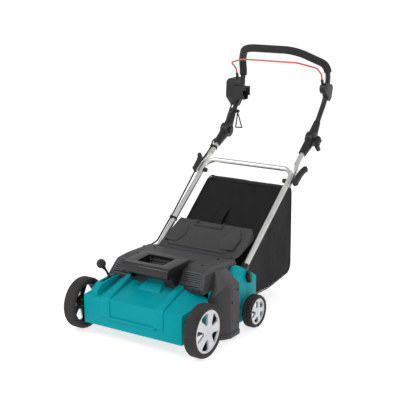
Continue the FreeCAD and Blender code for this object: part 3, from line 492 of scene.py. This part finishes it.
def bag_shift(p):
    """How far the cloth stands off its taut shape in millimetres: slow sag and finer folds."""
    q = Vector(p) / 1000
    broad = noise.noise(q * 6.5 + Vector((3, 1, 7)))
    folds = noise.noise(Vector((q.x * 16, q.y * 9 + q.z * 7, q.z * 5 - q.y * 4)))
    fine = noise.noise(q * 42)
    return 5.5 * broad + 4.2 * folds + 1.0 * fine


def bag_mesh():
    outline = bag_outline()
    centre = Vector(BAG_CENTRE)
    bm = bmesh.new()
    columns = 44
    edge = 9.0
    rings = []
    for c in range(columns + 1):
        t = -1 + 2 * c / columns
        x = BAG_HALF * t
        near = max(0.0, abs(x) - (BAG_HALF - edge)) / edge
        inset = edge * 0.55 * (1 - math.sqrt(max(0.0, 1 - near * near)))
        belly = 1 - abs(t) ** 3
        ring = []
        for i, p in enumerate(outline):
            out = (outline[(i + 1) % len(outline)] - outline[i - 1]).normalized()
            normal = Vector((out.y, -out.x))
            if normal.dot(p - centre) < 0:
                normal = -normal
            amount = -inset + bag_shift((x, p.x, p.y)) * 0.8 * belly
            if p.y > 120 and p.x < 780 and p.x > 470:
                amount -= 5.0 * belly * math.sin(math.pi * min(1, max(0, (p.x - 446) / 320)))
            if p.x > 815:
                amount -= 4.0 * belly * math.sin(math.pi * min(1, max(0, (p.y - 90) / 350)))
            if p.x < 452:
                amount = -inset * 0.4
            q = p + normal * min(amount, 0.6)
            ring.append(bm.verts.new(at(x, q.x, q.y)))
        rings.append(ring)
    count = len(outline)
    for a, b in zip(rings, rings[1:]):
        for k in range(count):
            j = (k + 1) % count
            y0, z0, z1, half = MOUTH
            mid = (a[k].co + a[j].co + b[k].co + b[j].co) / 4
            my, mz = mid.y * 1000 + ORIGIN_Y, mid.z * 1000
            if abs(my - y0) < 6 and z0 < mz < z1 and abs(mid.x * 1000) < half:
                continue
            bm.faces.new((a[k], a[j], b[j], b[k]))
    for ring, sign in ((rings[0], -1), (rings[-1], 1)):
        previous = ring
        for step in range(1, 15):
            share = 1 - step / 15
            loop = []
            for i, p in enumerate(outline):
                q = centre + (p - centre) * share
                ease = 1 - (1 - step / 15) ** 2
                hollow = 5.0 * ease * (0.55 + 0.45 * math.sin(q.x / 90 + q.y / 140))
                dx = -1.0 - hollow + bag_shift((sign * 90, q.x, q.y)) * 0.8 * min(1, step / 4)
                loop.append(bm.verts.new(at(sign * (BAG_HALF + min(dx, 0.8)), q.x, q.y)))
            for k in range(count):
                j = (k + 1) % count
                bm.faces.new((previous[k], previous[j], loop[j], loop[k]))
            previous = loop
        hub = bm.verts.new(at(sign * (BAG_HALF - 5.5), centre.x, centre.y))
        for k in range(count):
            bm.faces.new((previous[k], previous[(k + 1) % count], hub))
    return from_bmesh("bag", bm)


bag = piece("bag_cloth_shell", bag_mesh(), "cloth", None, angle=60)
thickness = bag.modifiers.new("thickness", "SOLIDIFY")
thickness.thickness = 0.0018
thickness.offset = -1
apply_modifiers(bag)
smooth(bag, 60)
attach(bag, "bag")
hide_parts("bag_fabric")


def bag_binding(name, points, radius=2.2):
    """Bound seam along an edge of the bag."""
    mesh = from_bmesh(name, sweep(points, radius, 8))
    return piece(name, mesh, "cloth", "bag", angle=80)


outline = bag_outline()
for side, sign in (("left", -1), ("right", 1)):
    seam = [Vector((sign * (BAG_HALF - 1.8), p.x + (1.5 if p.x < 460 else 0),
                    p.y)) for p in outline + outline[:1]]
    bag_binding(f"bag_side_seam_{side}", seam)
bag_binding("bag_top_seam", [Vector((x, 756, 460.0)) for x in range(-186, 187, 12)], 1.8)


def strap_mesh():
    """A webbing loop with sewn-down ends, bowed off the cloth between them."""
    bm = bmesh.new()
    rise = math.atan2(261, 308)
    length = 120.0
    rows = []
    for i in range(41):
        s = length * i / 40
        share = max(0.0, min(1.0, (s - 16) / (length - 32)))
        lift = 1.2 + 8.0 * math.sin(math.pi * share) ** 0.8 if 0 < share < 1 else 1.2
        y = 560 + s * math.cos(rise) - lift * math.sin(rise)
        z = 295.6 + s * math.sin(rise) + lift * math.cos(rise)
        rows.append([bm.verts.new(at(-30 + dx, y, z + 0.25 * math.sin(dx))) for dx in (-19, -17, -6, 6,
            17, 19)])
    for a, b in zip(rows, rows[1:]):
        for k in range(5):
            bm.faces.new((a[k], a[k + 1], b[k + 1], b[k]))
    return from_bmesh("strap", bm)


strap = piece("bag_strap_webbing", strap_mesh(), "cloth", None, angle=60)
thickness = strap.modifiers.new("thickness", "SOLIDIFY")
thickness.thickness = 0.0016
thickness.offset = 0
apply_modifiers(strap)
smooth(strap, 50)
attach(strap, "bag")
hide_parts("bag_strap")


# ---------------------------------------------------------------- handle, grip and bail
LEAN = math.atan2(CLAMP_Z - FOOT_Z, CLAMP_Y - FOOT_Y)
CLAMP_S = math.hypot(CLAMP_Z - FOOT_Z, CLAMP_Y - FOOT_Y)
HOOP_LEAN = math.atan2(147, 116)
HOOP_BENDS = [140, 105, 60, 95]


def on_handle(x, s, n=0.0):
    y = FOOT_Y + s * math.cos(LEAN) - n * math.sin(LEAN)
    return Vector((x, y, FOOT_Z + s * math.sin(LEAN) + n * math.cos(LEAN)))


HOOP_SIDE = [
    Vector((-TUBE_X, 948 + 34 * math.cos(HOOP_LEAN), 643 + 34 * math.sin(HOOP_LEAN))),
    Vector((-TUBE_X, 1064, 790)),
    Vector((-TUBE_X, 1094, 880)),
    Vector((-TUBE_X, 1082, 944)),
    Vector((-124, 950, 1013)),
]
hoop_path = rounded_path(mirror_points(HOOP_SIDE), HOOP_BENDS + HOOP_BENDS[::-1])
hoop = piece("hoop_bar", from_bmesh("hoop", sweep(hoop_path, TUBE_R, 28)), "dark_steel", "hoop",
             angle=60)
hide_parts("hoop_tube")

grip_start = (HOOP_SIDE[1] + HOOP_SIDE[2]) * 0.5
grip_path = rounded_path(mirror_points([grip_start] + HOOP_SIDE[2:]),
                         HOOP_BENDS[1:] + HOOP_BENDS[:0:-1], 2.5)
grip_path = [p for p in grip_path if p.z > (870 if p.x < 0 else 908)]


def grip_radius(share):
    """Full along the sleeve, rolled in at both ends."""
    reach = min(share, 1 - share) * 170
    return 11.2 + 5.4 * math.sqrt(min(1.0, reach / 1.6)) if reach < 1.6 else 16.6


grip = piece("foam_sleeve", from_bmesh("grip", sweep(grip_path, grip_radius, 32)), "foam", "hoop",
             angle=60)
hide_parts("foam_grip")

bail_side = [Vector((-TUBE_X, 1037, 876)), Vector((-TUBE_X, 1027, 909)), Vector((-TUBE_X, 985, 940)),
             Vector((-134, 948, 962))]
bail_path = rounded_path(mirror_points(bail_side), [12, 18, 40, 40, 18, 12], 2.0)
bail = piece("bail_bar", from_bmesh("bail", sweep(bail_path, 3.5, 16)), "red", "bail", angle=60)
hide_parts("bail_wire")

lower_path = rounded_path(mirror_points([on_handle(-TUBE_X, 16), on_handle(-TUBE_X, 545)]), [48, 48])
lower = piece("lower_handle_bar", from_bmesh("lower", sweep(lower_path, TUBE_R, 28)), "tube",
              "lower_frame", angle=60)
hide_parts("lower_handle")


# ---------------------------------------------------------------- power lead
def lead(name, node, points, radii, bands):
    """One stretch of the lead with the bands that tie it to the tube, laid along a bent path across one joint.
    """
    bm = sweep(rounded_path(points, radii, 2.5), LEAD_R, 14)
    for s, x, n in bands:
        for width, grow in ((10, 2.0), (6, 2.6)):
            ring = sweep([on_handle(x, s - width / 2, n), on_handle(x, s + width / 2, n)],
                         LEAD_R + grow, 18)
            cuff = sweep([on_handle(-TUBE_X, s - width / 2, 0), on_handle(-TUBE_X, s + width / 2, 0)],
                         TUBE_R + grow, 28)
            for part in (ring, cuff):
                mesh = bpy.data.meshes.new("band")
                part.to_mesh(mesh)
                part.free()
                bm.from_mesh(mesh)
    obj = piece(name, from_bmesh(name, bm), "rubber", None, angle=50)
    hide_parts(node)
    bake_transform(obj)
    return obj


LOW_S = 200.0
HIGH_S = 606.0
lead(
    "lead_low", "lead_deck",
    [Vector((-198, 290, 252)), Vector((-222, 320, 257)), Vector((-222, 346, 244)),
     on_handle(-223, 74, 13), on_handle(-223, LOW_S, 12)],
    [20, 24, 40], [],
)
lead(
    "lead_middle", "lead_fold",
    [on_handle(-223, LOW_S, 12), on_handle(-223, LOW_S + 40, 12), on_handle(-226, CLAMP_S, 22),
     on_handle(-222, HIGH_S - 24, 12), on_handle(-222, HIGH_S, 12)],
    [60, 200, 60], [(LOW_S + 6, -223, 12)],
)
lead(
    "lead_high", "lead_top",
    [
        on_handle(-222, HIGH_S, 12), on_handle(-222, HIGH_S + 12, 12), on_handle(-236.2, 640, 6),
        Vector((-236, 962.7, 626.7)), Vector((-236, 990, 686.5)), Vector((-238, 1043, 757)),
    ],
    [24, 40, 60, 60], [(HIGH_S + 6, -222, 12)],
)


# ---------------------------------------------------------------- vent ribs on the motor cover
def vent_rib(side, index):
    """One raised louvre blade across the sloping front panel."""
    s = 10.0 + index * 8.0
    y = 91 + s * 0.6
    z = 214 + s * 0.8
    half = 90 - index * 2.0
    centre = side * (112 + half / 2)
    bm = bmesh.new()
    corners = []
    for x in (centre - half / 2, centre + half / 2):
        for dy, dz in ((2.0, -3.0), (-1.6, -2.6), (-3.2, 1.0), (-1.0, 2.6), (3.0, 2.8)):
            corners.append(bm.verts.new(at(x, y + dy, z + dz)))
    for k in range(5):
        j = (k + 1) % 5
        bm.faces.new((corners[k], corners[j], corners[5 + j], corners[5 + k]))
    bm.faces.new(corners[:5][::-1])
    bm.faces.new(corners[5:])
    bmesh.ops.bevel(bm, geom=bm.edges[:], offset=0.0005, segments=2, profile=0.5, affect="EDGES",
                    clamp_overlap=True)
    return from_bmesh("rib", bm)


for side, sign in (("left", -1), ("right", 1)):
    for index in range(7):
        piece(f"vent_rib_{side}_{index}", vent_rib(sign, index), "panel", "chassis")


# ---------------------------------------------------------------- raised details on the flap
FLAP_HINGE = (352.0, 252.0)
FLAP_TILT = math.radians(25.0)


def flap_plate(name, outline, top, low):
    """A shallow raised plate on the flap, drawn in the flap's own plane and bevelled all round."""
    bm = bmesh.new()
    rings = []
    for height in (low, top):
        ring = []
        for x, u in outline:
            y = FLAP_HINGE[0] + u * math.cos(FLAP_TILT) - height * math.sin(FLAP_TILT)
            z = FLAP_HINGE[1] + u * math.sin(FLAP_TILT) + height * math.cos(FLAP_TILT)
            ring.append(bm.verts.new(at(x, y, z)))
        rings.append(ring)
    count = len(outline)
    for k in range(count):
        j = (k + 1) % count
        bm.faces.new((rings[0][k], rings[0][j], rings[1][j], rings[1][k]))
    bm.faces.new(rings[0][::-1])
    bm.faces.new(rings[1])
    bmesh.ops.bevel(
        bm, geom=bm.edges[:], offset=0.0012, segments=2, profile=0.5, affect="EDGES", clamp_overlap=True,
    )
    return piece(name, from_bmesh(name, bm), "cover", "flap")


SIDE_PLATE = [(104, 36), (84, 84), (98, 142), (140, 154), (162, 112), (162, 42)]
GRIP_RIM = [(-84, -77, 152, 184), (43, 50, 152, 184), (-84, 50, 150, 158)]
for side, sign in (("left", -1), ("right", 1)):
    flap_plate(f"flap_side_plate_{side}", [(sign * x, u) for x, u in SIDE_PLATE], 17.0, 7.5)
for index, (x0, x1, u0, u1) in enumerate(GRIP_RIM):
    flap_plate(f"flap_grip_rim_{index}", [(x0, u0), (x1, u0), (x1, u1), (x0, u1)], 17.0, 7.5)
